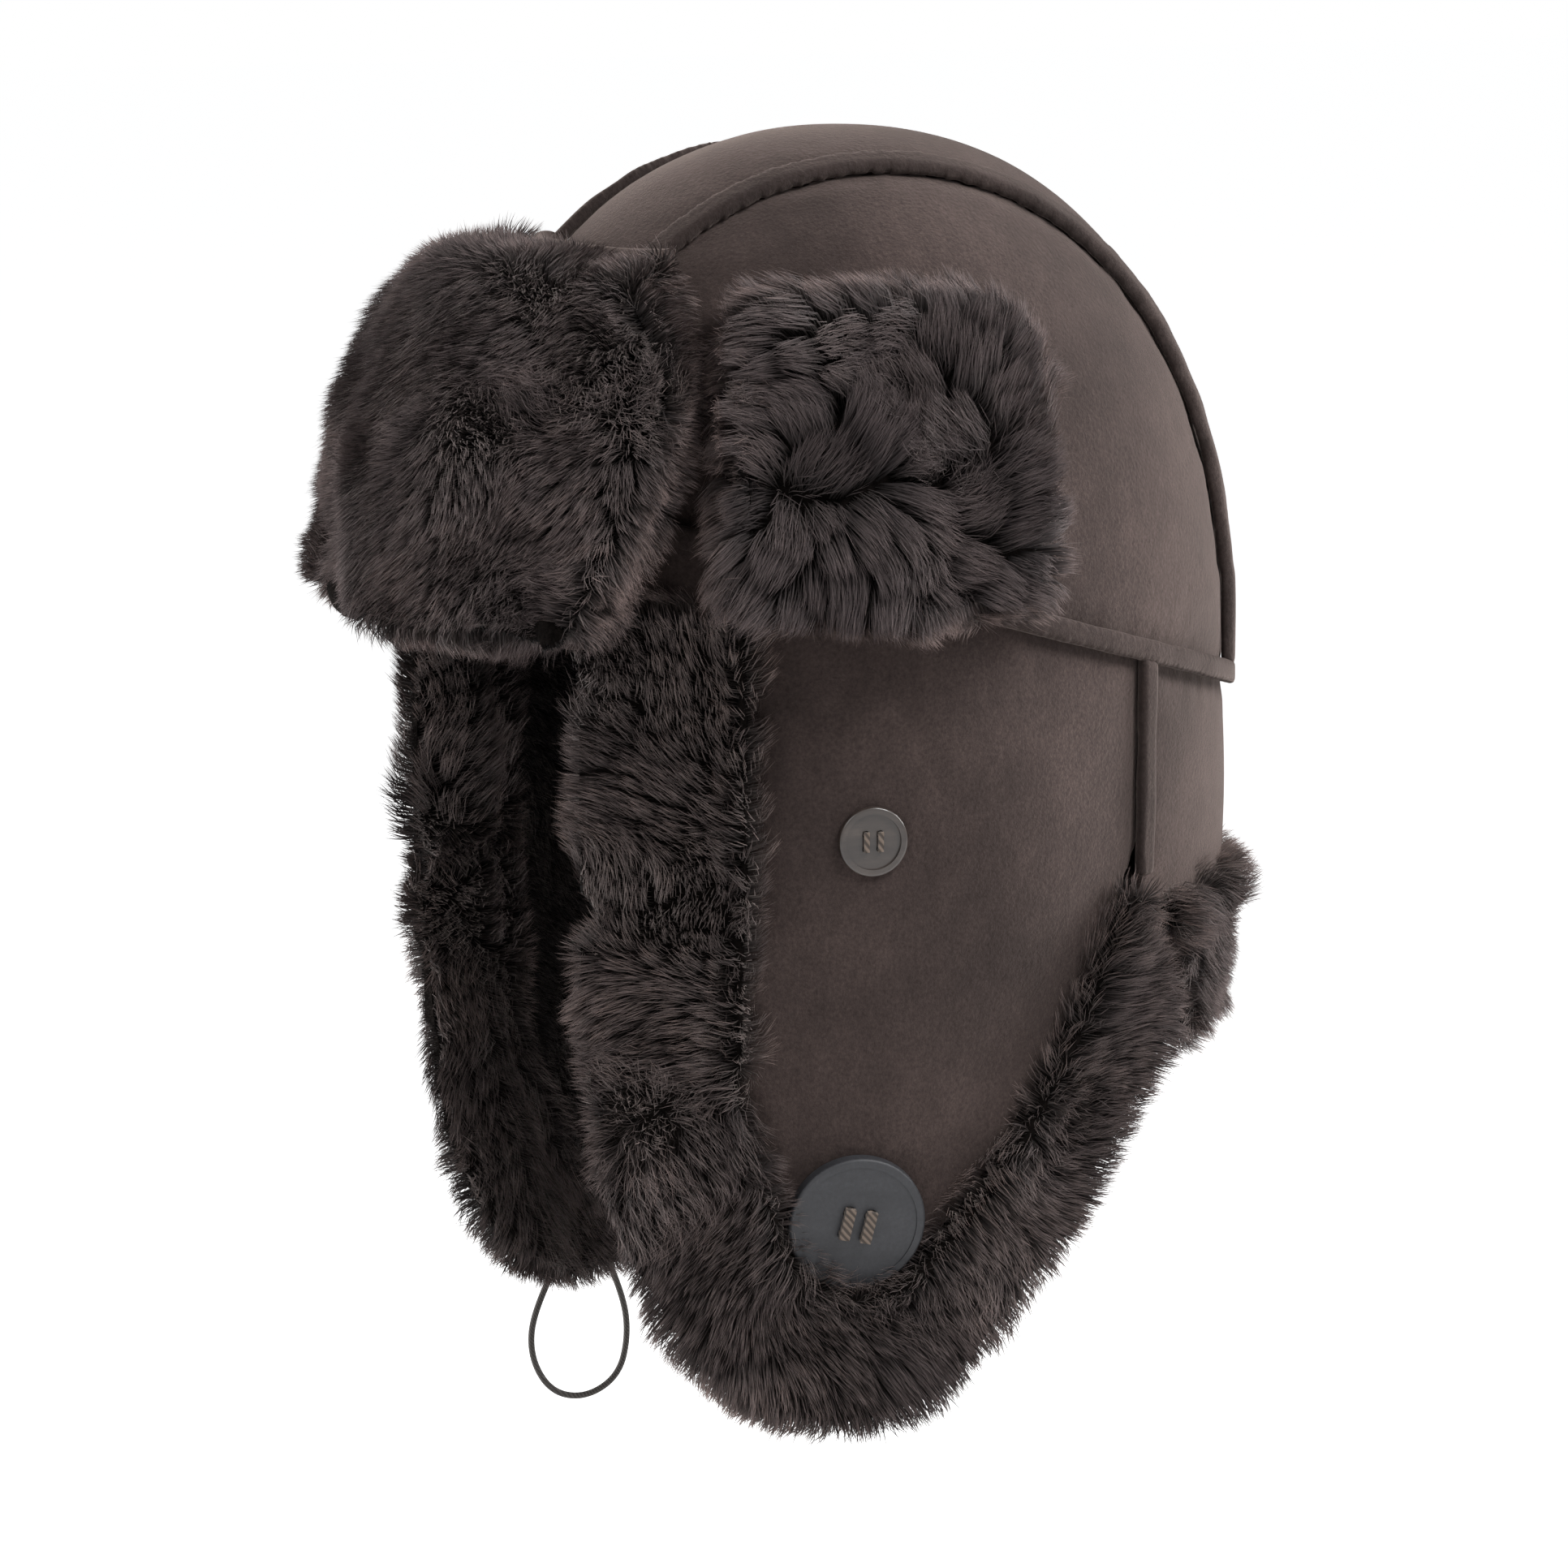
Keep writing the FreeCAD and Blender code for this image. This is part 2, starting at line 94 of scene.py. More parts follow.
# Suede: drawn in at its seams, puffed between them, puckered beside them and softly rippled
SEAM_SINK = 0.9 * MM
SEAM_REACH = 5 * MM
PUFF = 1.1 * MM
PUFF_REACH = 22 * MM
PUCKER = 0.2 * MM
PUCKER_SIZE = 6 * MM
PUCKER_REACH = 9 * MM
RIPPLE = 0.5 * MM
RIPPLE_SIZE = 34 * MM
WELT_SWELL = 0.75 * MM
WELT_RIPPLE = 0.15 * MM
WELT_RIPPLE_SIZE = 9 * MM
TURNED_RIPPLE = 0.3 * MM
TURNED_RIPPLE_SIZE = 25 * MM

# The ear panel: its thickness, rolled edge, puffed middle and ripples, and the raised lip round the tongue
PANEL_THICKNESS = 2.3 * MM
PANEL_ROLL = 1.6 * MM
PANEL_ROLL_REACH = 3 * MM
PANEL_PUFF = 1.6 * MM
PANEL_PUFF_REACH = 20 * MM
PANEL_RIPPLE = 0.7 * MM
PANEL_RIPPLE_SIZE = 40 * MM
LIP = 2.2 * MM
LIP_REACH = 9 * MM
LIP_TOP = FOLD_Z - 10 * MM

# A strand of fur: a ribbon from a little under the underwool, with two pairs of vertices and a tip
STRAND_WIDTH = 0.3 * MM
STRAND_STEPS = (0.0, 0.55, 1.0)
STRAND_TAPER = (1.0, 0.85)
STRAND_BEND = 0.55
STRAND_ROOT = 0.8 * MM
STRAND_TWIST = 0.35

# Strands to the square millimetre, and the most on one piece
DENSITY = 2.4
MOST_STRANDS = 62000

# How strands vary, patch by patch and strand by strand. LOCK_SPREAD is the share of a lock's width that
# is left at its tips.
SWIRL = 0.75
SWIRL_SIZE = 26 * MM
UNRULY = 0.22
TILT_PATCHES = 0.16
TILT_SIZE = 18 * MM
TILT_SPREAD = 0.1
LENGTH_PATCHES = 0.16
LENGTH_SIZE = 14 * MM
LENGTH_SPREAD = 0.12
LOCK_SPREAD = 0.35
TINT_MIDDLE = 0.52
TINT_PATCHES = 0.17
TINT_SIZE = 30 * MM
TINT_SPREAD = 0.13
# Painted shade between locks: strands darken the further out in their lock they stand
PAINTED_LOCK_SHADE = 0.22
TINT_LOCKS = 0.12
# Painted rim light and shade: strands are lighter where their surface turns side-on to the head and darker
# where it faces straight away, unchanged at this level
PAINTED_RIM_LIGHT_LEVEL = 0.75
TINT_RANGE = (0.02, 0.98)

# Lumps in the underwool
LUMP_SIZE = 42 * MM
SMALL_LUMP_SIZE = 17 * MM
SMALL_LUMPS = 0.5

# The brim: the share of the way to the front that its ends are drawn in, from an angle on, and more where
# it is low or high; and its creases, each with its depth, its angle from the front at z = 0 and its slant
BRIM_FUR_DRAWN = 0.06
BRIM_SUEDE_DRAWN = 0.14
BRIM_DRAWN_FROM = 18
BRIM_DRAWN_OVER = 32
BRIM_LOW = 70 * MM
BRIM_LOW_OVER = 76 * MM
BRIM_LOW_DRAWN = 0.6
BRIM_HIGH = 60 * MM
BRIM_HIGH_OVER = 46 * MM
BRIM_HIGH_DRAWN = 0.75
CREASES = ((4.6 * MM, -6, 110), (3.6 * MM, 30, 60))
CREASE_WIDTH = 6.0

# Turned-up pieces settle from this height on, by a drop of their own
SETTLE_FROM = 50 * MM
SETTLE_OVER = 50 * MM
BRIM_DROP = 6.5 * MM
CUFF_FUR_DROP = 9 * MM
CUFF_SUEDE_DROP = 11 * MM

# The ear trim is drawn up in front, and its tips hang lower on the left and higher on the right
TRIM_LIFT = 20 * MM
TRIM_LIFT_FROM = -50 * MM
TRIM_LIFT_OVER = 40 * MM
TRIM_FRONT = -50 * MM
TRIM_TIP_FROM = 188 * MM
TRIM_TIP_OVER = 28 * MM
LEFT_TIP_DROP = 11 * MM
RIGHT_TIP_DROP = -4 * MM

# The neck fur is tucked in below this depth
TUCK = 5 * MM
TUCK_FROM = 80 * MM
TUCK_OVER = 20 * MM

# Studio: the floor's depth under the hat, its half size, and the glow and the grey that the camera sees it
# with; the light from all round; and the lamps, each with its azimuth, elevation, distance, size and power
FLOOR_DROP = 0.12
FLOOR_SIZE = 12
FLOOR_GLOW = 0.93
FLOOR_SHADED = 0.5
WORLD_STRENGTH = 0.14
LAMPS_AROUND = Vector((0, 0, -0.03))
LAMPS = {
    "key": (118, 48, 1.6, 0.7, 21),
    "front": (25, 35, 1.7, 1.0, 5),
    "rim_back": (168, 22, 1.5, 0.7, 22),
    "rim_front": (-35, 8, 1.4, 0.7, 22),
}


# ---------------------------------------------------------------- noise and mesh tools

def make_waves(seed, count=14):
    """Directions and phases for a smooth, repeatable noise."""
    rng = np.random.default_rng(seed)
    directions = rng.normal(size=(count, 3))
    directions /= np.linalg.norm(directions, axis=1)[:, None]
    directions *= rng.uniform(0.7, 1.5, size=(count, 1))
    return directions, rng.uniform(0, 2 * math.pi, count)


def noise(points, size, seed):
    """Smooth noise of about -1 to 1 whose lumps are size metres across."""
    directions, phases = make_waves(seed)
    angles = points @ directions.T * (math.pi / size) + phases
    return np.sin(angles).sum(1) / math.sqrt(len(phases)) / 1.2


def fading(gap, reach):
    """1 at no distance, falling smoothly to almost 0 at twice the reach."""
    return np.exp(-(gap / reach) ** 2)


def rise(value, start, span):
    """0 up to start, then rising evenly to 1 over span."""
    return np.clip((value - start) / span, 0, 1)


def vertex_array(mesh):
    """A mesh's vertices, a row of x, y and z each."""
    points = np.empty(len(mesh.vertices) * 3)
    mesh.vertices.foreach_get("co", points)
    return points.reshape(-1, 3)


def normal_array(mesh):
    """The smooth normal at each of a mesh's vertices."""
    normals = np.empty(len(mesh.vertices) * 3)
    mesh.vertices.foreach_get("normal", normals)
    return normals.reshape(-1, 3)


def set_vertices(mesh, points):
    """Puts a mesh's vertices at points."""
    mesh.vertices.foreach_set("co", points.ravel())
    mesh.update()


def tree_of(places):
    """A search tree of some places."""
    tree = KDTree(len(places))
    for index, place in enumerate(places):
        tree.insert(place, index)
    tree.balance()
    return tree


def gap_to(tree, points):
    """How far each point is from the nearest place in a tree."""
    return np.array([tree.find(Vector(p))[2] for p in points])


def new_object(name, data, *materials):
    """A new object in the scene, with its materials."""
    piece = bpy.data.objects.new(name, data)
    bpy.context.scene.collection.objects.link(piece)
    for material in materials:
        data.materials.append(material)
    return piece


def applied(worker, name):
    """The worker's mesh with its modifiers applied and smooth shading. The worker is removed."""
    graph = bpy.context.evaluated_depsgraph_get()
    mesh = bpy.data.meshes.new_from_object(worker.evaluated_get(graph), depsgraph=graph)
    bpy.data.objects.remove(worker)
    mesh.name = name
    mesh.shade_smooth()
    return mesh


def remeshed(name, sources, voxel, smooth):
    """One closed, evenly meshed and rounded mesh from the meshes of some frame nodes."""
    joined = bmesh.new()
    for source in sources:
        joined.from_mesh(nodes[source].data)
    mesh = bpy.data.meshes.new(name)
    joined.to_mesh(mesh)
    joined.free()
    mesh.materials.clear()
    worker = new_object(name + "_work", mesh)
    cut = worker.modifiers.new("cut", "REMESH")
    cut.mode = "VOXEL"
    cut.voxel_size = voxel
    if smooth:
        soften = worker.modifiers.new("soften", "SMOOTH")
        soften.iterations = smooth
        soften.factor = 0.5
    return applied(worker, name)


def outward(points):
    """The direction away from the head at each point."""
    lift = np.maximum(points[:, 2] - WAIST, 0)
    away = np.stack([
        points[:, 0] / HALF_BREADTH**2,
        points[:, 1] / HALF_LENGTH**2,
        lift / CROWN_RISE**2,
    ], axis=1)
    return away / np.linalg.norm(away, axis=1)[:, None]


# ---------------------------------------------------------------- materials

SHEEN_ROUGHNESS = 0.45

# A colour mix's sockets: its two colours and its result
FIRST_COLOUR = 6
SECOND_COLOUR = 7
MIXED_COLOUR = 2


def principled(name, roughness, sheen=0.0, sheen_tint=(1, 1, 1, 1), coat=0.0):
    """A new material and its shader."""
    material = bpy.data.materials.new(name)
    material.use_nodes = True
    shader = material.node_tree.nodes["Principled BSDF"]
    shader.inputs["Roughness"].default_value = roughness
    shader.inputs["Sheen Weight"].default_value = sheen
    shader.inputs["Sheen Roughness"].default_value = SHEEN_ROUGHNESS
    shader.inputs["Sheen Tint"].default_value = sheen_tint
    shader.inputs["Coat Weight"].default_value = coat
    return material, shader


def ramp(tree, source, stops):
    """A colour ramp fed by source."""
    node = tree.nodes.new("ShaderNodeValToRGB")
    elements = node.color_ramp.elements
    while len(elements) < len(stops):
        elements.new(0.5)
    for element, (place, colour) in zip(elements, stops):
        element.position = place
        element.color = (*colour, 1)
    tree.links.new(source, node.inputs[0])
    return node.outputs[0]


def object_noise(tree, scale, detail=3.0, roughness=0.55, stretch=None):
    """A noise texture in the object's own coordinates."""
    place = tree.nodes.new("ShaderNodeTexCoord").outputs["Object"]
    if stretch:
        mapping = tree.nodes.new("ShaderNodeMapping")
        mapping.inputs["Scale"].default_value = stretch
        tree.links.new(place, mapping.inputs[0])
        place = mapping.outputs[0]
    texture = tree.nodes.new("ShaderNodeTexNoise")
    texture.inputs["Scale"].default_value = scale
    texture.inputs["Detail"].default_value = detail
    texture.inputs["Roughness"].default_value = roughness
    tree.links.new(place, texture.inputs["Vector"])
    return texture.outputs[0]


def mixed(tree, first, second, factor=0.5, kind="MIX"):
    """A colour mix of two sockets."""
    node = tree.nodes.new("ShaderNodeMix")
    node.data_type = "RGBA"
    node.blend_type = kind
    node.inputs[0].default_value = factor
    tree.links.new(first, node.inputs[FIRST_COLOUR])
    tree.links.new(second, node.inputs[SECOND_COLOUR])
    return node.outputs[MIXED_COLOUR]


def bumped(tree, shader, height, strength, distance):
    """Gives a shader the relief of a height, distance metres deep."""
    node = tree.nodes.new("ShaderNodeBump")
    node.inputs["Strength"].default_value = strength
    node.inputs["Distance"].default_value = distance
    tree.links.new(height, node.inputs["Height"])
    tree.links.new(node.outputs[0], shader.inputs["Normal"])


def suede_material(name, dark, middle, light):
    """Napped suede: soft patches where the nap lies another way, and a fine grain."""
    material, shader = principled(name, 0.92, sheen=0.35, sheen_tint=(0.75, 0.61, 0.55, 1))
    shader.inputs["Specular IOR Level"].default_value = 0.15
    tree = material.node_tree
    patches = ramp(tree, object_noise(tree, 13, 5, 0.62), ((0.3, dark), (0.5, middle), (0.72, light)))
    streaks = ramp(tree, object_noise(tree, 150, 4, 0.7, (1.0, 1.0, 0.6)),
                   ((0.35, (0.86,) * 3), (0.7, (1.12,) * 3)))
    grain = ramp(tree, object_noise(tree, 900, 4, 0.75), ((0.32, (0.66,) * 3), (0.68, (1.3,) * 3)))
    nap = mixed(tree, patches, streaks, 1.0, "MULTIPLY")
    tree.links.new(mixed(tree, nap, grain, 1.0, "MULTIPLY"), shader.inputs["Base Color"])
    bumped(tree, shader, object_noise(tree, 800, 5, 0.7), 0.8, 0.0005)
    return material


def fur_material(name, root, middle, tip, roughness=0.75, sheen=0.25):
    """Hair whose colour runs along V from a near-black root, painted shade deep in the pile, to its tip, and
    whose tint is set strand by strand by U.
    """
    material, shader = principled(name, roughness, sheen=sheen, sheen_tint=(0.7, 0.6, 0.55, 1))
    shader.inputs["Specular IOR Level"].default_value = 0.25
    tree = material.node_tree
    uv = tree.nodes.new("ShaderNodeUVMap")
    uv.uv_map = "OFBake"
    split = tree.nodes.new("ShaderNodeSeparateXYZ")
    tree.links.new(uv.outputs[0], split.inputs[0])
    # The near-black root end of this colour is painted shade deep in the pile
    along = ramp(tree, split.outputs[1], ((0.05, root), (0.6, middle), (1.0, tip)))
    tint = ramp(tree, split.outputs[0],
                ((0.0, (0.5, 0.5, 0.52)), (0.5, (1.0, 1.0, 1.0)), (1.0, (1.6, 1.5, 1.42))))
    tree.links.new(mixed(tree, along, tint, 1.0, "MULTIPLY"), shader.inputs["Base Color"])
    return material


def shaded_underwool_material(name, dark, light):
    """The dense underwool that shows between the strands, coloured near-black as painted shade deep in the
    pile.
    """
    material, shader = principled(name, 1.0)
    shader.inputs["Specular IOR Level"].default_value = 0.05
    tree = material.node_tree
    colour = ramp(tree, object_noise(tree, 260, 4, 0.6), ((0.35, dark), (0.7, light)))
    tree.links.new(colour, shader.inputs["Base Color"])
    bumped(tree, shader, object_noise(tree, 420, 4, 0.7), 0.8, 0.001)
    return material


SUEDE = suede_material("suede", (0.03, 0.0212, 0.0195), (0.0525, 0.0373, 0.0342), (0.082, 0.0585, 0.053))
PIPING = suede_material("piping_suede", (0.025, 0.018, 0.0165), (0.039, 0.028, 0.0257), (0.06, 0.043, 0.039))
# Each fur's first colour, at the root, is painted shade deep in the pile
FUR = fur_material("dark_fur", (0.006, 0.0049, 0.0049), (0.056, 0.0435, 0.0424), (0.23, 0.179, 0.173))
EDGE_FUR = fur_material("edge_fur", (0.007, 0.0056, 0.0055), (0.06, 0.0464, 0.0442), (0.25, 0.193, 0.182))
FLEECE = fur_material(
    "lining_fleece", (0.006, 0.0049, 0.0049), (0.017, 0.0136, 0.0134), (0.046, 0.037, 0.036))
# The underwool's near-black colour is painted shade between the strands
PAINTED_SHADE_WOOL = shaded_underwool_material("underwool", (0.006, 0.005, 0.0046), (0.016, 0.0125, 0.0112))


def resin_material():
    """Dark horn-like resin with faint streaks."""
    material, shader = principled("dark_resin", 0.28, coat=0.4)
    tree = material.node_tree
    streaks = object_noise(tree, 90, 5, 0.65, (1.0, 0.35, 2.2))
    colour = ramp(tree, streaks,
                  ((0.3, (0.022, 0.016, 0.014)), (0.55, (0.045, 0.034, 0.029)), (0.8, (0.085, 0.064, 0.052))))
    tree.links.new(colour, shader.inputs["Base Color"])
    bumped(tree, shader, object_noise(tree, 700, 3), 0.05, 0.0003)
    return material


def slate_material():
    """Matte slate-grey button face with fine scratches and speckle."""
    material, shader = principled("slate_resin", 0.55)
    tree = material.node_tree
    speckle = object_noise(tree, 900, 4, 0.7)
    cloud = object_noise(tree, 60, 4, 0.6, (1.0, 1.0, 2.5))
    colour = mixed(
        tree,
        ramp(tree, cloud, ((0.3, (0.016, 0.0165, 0.0195)), (0.7, (0.031, 0.0315, 0.036)))),
        ramp(tree, speckle, ((0.35, (0.8,) * 3), (0.7, (1.25,) * 3))),
        1.0, "MULTIPLY")
    tree.links.new(colour, shader.inputs["Base Color"])
    bumped(tree, shader, speckle, 0.12, 0.0003)
    return material


def thread_material(name, dark, light, bands=260):
    """Twisted or braided thread, with bands round it."""
    material, shader = principled(name, 0.85, sheen=0.2)
    tree = material.node_tree
    place = tree.nodes.new("ShaderNodeTexCoord").outputs["Object"]
    twist = tree.nodes.new("ShaderNodeTexWave")
    twist.bands_direction = "DIAGONAL"
    twist.inputs["Scale"].default_value = bands
    twist.inputs["Distortion"].default_value = 1.0
    tree.links.new(place, twist.inputs["Vector"])
    tree.links.new(ramp(tree, twist.outputs["Fac"], ((0.2, dark), (0.8, light))), shader.inputs["Base Color"])
    bumped(tree, shader, twist.outputs["Fac"], 0.5, 0.0002)
    return material


RESIN = resin_material()
SLATE = slate_material()
THREAD = thread_material("button_thread", (0.055, 0.042, 0.034), (0.19, 0.145, 0.115))
ELASTIC = thread_material("braided_elastic", (0.022, 0.019, 0.017), (0.06, 0.052, 0.046), 520)
TAPE = thread_material("woven_tape", (0.02, 0.016, 0.014), (0.05, 0.04, 0.034), 300)


# ---------------------------------------------------------------- suede panels and welts

PANELS = ("crown_centre_panel", "crown_side_panel_left", "crown_side_panel_right", "neck_panel")
WELTS = ("crown_piping_left", "crown_piping_right", "band_piping", "neck_piping_left", "neck_piping_right")


def welt_tree():
    """Closely spaced points on all the welts."""
    mesh = remeshed("welt_cloud", WELTS, 2.0 * MM, 0)
    tree = tree_of(vertex_array(mesh))
    bpy.data.meshes.remove(mesh)
    return tree


welt_points = welt_tree()


def upholster(mesh):
    """Suede drawn in along its welts, puffed between them, with soft ripples."""
    points = vertex_array(mesh)
    gap = gap_to(welt_points, points)
    far = 1 - fading(gap, PUFF_REACH)
    pucker = noise(points, PUCKER_SIZE, 11) * fading(gap, PUCKER_REACH)
    soft = noise(points, RIPPLE_SIZE, 12) * far
    shift = PUFF * far - SEAM_SINK * fading(gap, SEAM_REACH) + PUCKER * pucker + RIPPLE * soft
    set_vertices(mesh, points + outward(points) * shift[:, None])
    return mesh


def suede_piece(name, source):
    """A panel of the hat's suede."""
    piece = new_object(name, upholster(remeshed(name, (source,), SUEDE_VOXEL, 7)), SUEDE)
    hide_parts(source)
    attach(piece, "hat")


def make_crown():
    """The suede panels that don't fold, and the welts in the seams."""
    for name in PANELS:
        suede_piece(name.replace("panel", "suede"), name)
    for name in WELTS:
        mesh = remeshed(name + "_welt", (name,), WELT_VOXEL, 7)
        points = vertex_array(mesh)
        swell = WELT_SWELL + WELT_RIPPLE * noise(points, WELT_RIPPLE_SIZE, 21)
        set_vertices(mesh, points + normal_array(mesh) * swell[:, None])
        piece = new_object(name + "_welt", mesh, PIPING)
        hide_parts(name)
        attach(piece, "hat")


def wall_x(y, z, out):
    """Where the left wall of the head shell lies, out metres outside the suede's face."""
    radius = SKIRT_RADIUS + out
    drop = np.maximum(WAIST - z, 0)
    r = HALF_BREADTH + out - radius + np.sqrt(radius**2 - drop**2)
    stretch = (HALF_LENGTH + out) / (HALF_BREADTH + out)
    return np.sqrt(np.maximum(r**2 - (y / stretch) ** 2, NARROWEST**2))


def smooth_curve(points, steps):
    """A smooth line of (y, z) points through the given ones, by Catmull-Rom."""
    p = [2 * np.array(points[0]) - np.array(points[1])] + [np.array(q) for q in points]
    p.append(2 * p[-1] - p[-2])
    line = []
    for a, b, c, d in zip(p, p[1:], p[2:], p[3:]):
        for t in np.arange(steps) / steps:
            line.append(0.5 * (2 * b + (c - a) * t + (2 * a - 5 * b + 4 * c - d) * t**2
                               + (3 * b - a - 3 * c + d) * t**3))
    line.append(p[-2])
    return line


# The outline of the ear panel and the flap's tongue as (y, z) in mm, and the box that the panel's grid fills
PANEL_FRONT = [(-103, -8), (-73.2, -10)]
TONGUE = [(-73, -122), (-63, -160), (-40, -185), (-10, -163), (20, -117), (43, -78), (48.6, -66)]
PANEL_TOP = [(48.6, -13.6), (-103, 28.6)]
TONGUE_STEPS = 6
Y_AXIS = 1
Z_AXIS = 2
PANEL_GRID = ((Y_AXIS, -103, 50), (Z_AXIS, -186, 29))


def panel_sheet():
    """The ear panel and tongue as a flat sheet, cut into a grid so that it can be curved."""
    outline = PANEL_FRONT + [tuple(q) for q in smooth_curve(TONGUE, TONGUE_STEPS)] + PANEL_TOP
    sheet = bmesh.new()
    sheet.faces.new([sheet.verts.new((0, y * MM, z * MM)) for y, z in outline])
    for axis, low, high in PANEL_GRID:
        for value in np.arange(low + GRID_STEP, high, GRID_STEP):
            spot = Vector((0, 0, 0))
            spot[axis] = value * MM
            normal = Vector((0, 0, 0))
            normal[axis] = 1
            bmesh.ops.bisect_plane(
                sheet, geom=sheet.verts[:] + sheet.edges[:] + sheet.faces[:], plane_co=spot, plane_no=normal)
    return sheet


def ear_suede(side, sign, seed):
    """The ear panel and the flap's tongue as one piece of suede."""
    name = "ear_suede_" + side
    sheet = panel_sheet()
    mesh = bpy.data.meshes.new(name)
    sheet.to_mesh(mesh)
    rim = [v.co.copy() for v in sheet.verts if v.is_boundary]
    sheet.free()
    points = vertex_array(mesh)
    gap = gap_to(tree_of(rim), points)
    puff = 1 - fading(gap, PANEL_PUFF_REACH)
    soft = noise(points, PANEL_RIPPLE_SIZE, seed)
    out = PANEL_PUFF * puff - PANEL_ROLL * fading(gap, PANEL_ROLL_REACH) + PANEL_RIPPLE * soft * puff
    out += LIP * fading(gap, LIP_REACH) * (points[:, 2] < LIP_TOP)
    points[:, 0] = sign * wall_x(points[:, 1], points[:, 2], out)
    set_vertices(mesh, points)
    if normal_array(mesh)[:, 0].mean() * sign < 0:
        mesh.flip_normals()
    worker = new_object("work", mesh)
    thick = worker.modifiers.new("thick", "SOLIDIFY")
    thick.thickness = PANEL_THICKNESS
    thick.offset = -1
    round_off = worker.modifiers.new("round", "SUBSURF")
    round_off.levels = 1
    piece = new_object(name, applied(worker, name), SUEDE)
    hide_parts("ear_panel_" + side, "ear_flap_" + side)
    blend_at_fold(piece)


def make_ear_panels():
    """Both ear panels, each with its flap's tongue."""
    for (side, sign), seed in zip(SIDES, (31, 32)):
        ear_suede(side, sign, seed)


def blend_at_fold(piece):
    """Bakes a piece's placement into its mesh."""
    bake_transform(piece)


# ---------------------------------------------------------------- fur

def scatter(mesh, density, rng):
    """Points spread over a mesh by area, with the surface's smooth normal at each."""
    mesh.calc_loop_triangles()
    corners = np.empty(len(mesh.loop_triangles) * 3, dtype=np.int64)
    mesh.loop_triangles.foreach_get("vertices", corners)
    corners = corners.reshape(-1, 3)
    points = vertex_array(mesh)
    normals = normal_array(mesh)
    a, b, c = (points[corners[:, k]] for k in range(3))
    area = np.linalg.norm(np.cross(b - a, c - a), axis=1) / 2
    count = int(area.sum() / MM**2 * density)
    chosen = np.searchsorted(np.cumsum(area), rng.uniform(0, area.sum(), count))
    chosen = np.minimum(chosen, len(area) - 1)
    u, v = rng.uniform(size=(2, count))
    flip = u + v > 1
    u[flip], v[flip] = 1 - u[flip], 1 - v[flip]
    weights = np.stack([1 - u - v, u, v], axis=1)[:, :, None]
    place = (points[corners[chosen]] * weights).sum(1)
    normal = (normals[corners[chosen]] * weights).sum(1)
    return place, normal / np.linalg.norm(normal, axis=1)[:, None]


def unit(vectors):
    """The vectors at a length of 1."""
    return vectors / np.maximum(np.linalg.norm(vectors, axis=1), 1e-9)[:, None]


def combed(place, normal, flow, seed, rng):
    """The way that strands lean: along the flow, swirled and a little unruly, level with the surface."""
    comb = flow(place)
    swirl = np.stack([noise(place, SWIRL_SIZE, seed + k) for k in (1, 2, 3)], axis=1)
    comb = comb + swirl * SWIRL + rng.normal(size=(len(place), 3)) * UNRULY
    return unit(comb - normal * (comb * normal).sum(1)[:, None])


def gathered(place, tip, density, clump, gather, rng):
    """Tips drawn together into locks about clump metres wide.

    Gives the new tips, the number of locks, each strand's lock, and how far out in it the strand stands.
    """
    count = len(place)
    spacing = max(int(density * clump**2 / MM**2), 2)
    leaders = rng.choice(count, max(count // spacing, 1), replace=False)
    tree = tree_of(place[leaders])
    lock = np.array([tree.find(p)[1] for p in place])
    middle = place[leaders][lock]
    pull = gather * (0.6 + 0.4 * rng.uniform(size=count))
    goal = tip[leaders][lock] + (place - middle) * LOCK_SPREAD
    tip = tip + (goal - tip) * pull[:, None]
    return tip, len(leaders), lock, np.linalg.norm(place - middle, axis=1) / clump


def ribbons(place, normal, tip, tall, rng):
    """Each strand's vertices, along a curve that leaves the surface upright and bends to its tip."""
    count = len(place)
    bend = place + normal * (tall * STRAND_BEND)[:, None]
    width = unit(np.cross(tip - place, normal + rng.normal(size=(count, 3)) * STRAND_TWIST))
    half = STRAND_WIDTH * (0.7 + 0.6 * rng.uniform(size=count)) / 2 * 1
    root = place - normal * STRAND_ROOT
    rings = []
    for t, taper in zip(STRAND_STEPS[:-1], STRAND_TAPER):
        spot = root * (1 - t) ** 2 + bend * (2 * t * (1 - t)) + tip * t**2
        rings.append(spot - width * (half * taper)[:, None])
        rings.append(spot + width * (half * taper)[:, None])
    rings.append(tip)
    return np.stack(rings, axis=1)


